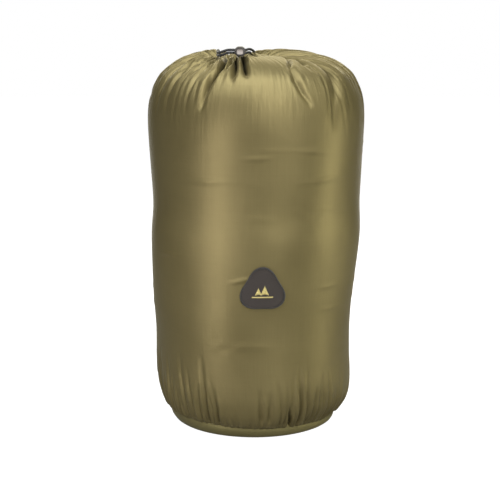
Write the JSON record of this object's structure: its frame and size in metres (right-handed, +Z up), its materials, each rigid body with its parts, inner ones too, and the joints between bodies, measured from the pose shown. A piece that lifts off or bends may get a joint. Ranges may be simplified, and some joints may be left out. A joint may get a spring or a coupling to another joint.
{
  "type": "stuff sack",
  "caption": "Olive nylon stuff sack with a round base, drawn shut at the top with a cord and a spring cord lock over a packed sleeping bag.",
  "frame": {"origin": "middle of the round base, on the surface that the sack stands on", "axes": "+Z up along the sack, -Y towards the front with the badge, +X to the right as the front is seen"},
  "size_m": [0.3439, 0.344, 0.6073],
  "materials": {
    "olive_nylon": "satin taffeta nylon, olive",
    "base_nylon": "satin taffeta nylon, paler olive",
    "olive_thread": "polyester sewing thread",
    "dark_thread": "polyester sewing thread, charcoal",
    "gold_thread": "bright embroidery thread, gold",
    "binding_tape": "woven binding tape, black",
    "black_cord": "braided polyester cord, black",
    "lock_plastic": "moulded nylon plastic, dark grey",
    "plunger_plastic": "moulded plastic, light grey",
    "spring_wire": "spring steel wire",
    "badge_fabric": "woven twill, charcoal",
    "contents_fabric": "soft polyester shell fabric"
  },
  "bodies": {
    "sack": {"side_panel": "olive_nylon", "side_seam_allowance": "olive_nylon", "side_seam_stitching": "olive_thread", "base_panel": "base_nylon", "base_seam_binding": "binding_tape", "base_seam_stitching": "olive_thread", "mouth_casing": "olive_nylon", "casing_stitching": "olive_thread", "exit_bartacks": "dark_thread", "drawcord_in_casing": "black_cord", "drawcord_strand_upper": "black_cord", "drawcord_strand_lower": "black_cord", "drawcord_coil": "black_cord", "cord_end_knot": "black_cord", "badge": "badge_fabric", "badge_edging": "dark_thread", "badge_emblem": "gold_thread", "packed_contents": "contents_fabric"},
    "cord_lock": {"cord_lock_barrel": "lock_plastic", "cord_lock_spring": "spring_wire"},
    "plunger": {"cord_lock_plunger": "plunger_plastic"}
  },
  "joints": [
    {"name": "cord_lock_slide", "type": "slide", "parent": "sack", "child": "cord_lock", "axis": [-1, 0, 0], "range_m": [0, 0.008]},
    {"name": "plunger_press", "type": "slide", "parent": "cord_lock", "child": "plunger", "axis": [0, 1, 0], "range_m": [0, 0.0035], "stiffness_N_per_m": 800, "springref_m": -0.002, "deforming": ["cord_lock_spring"]}
  ]
}
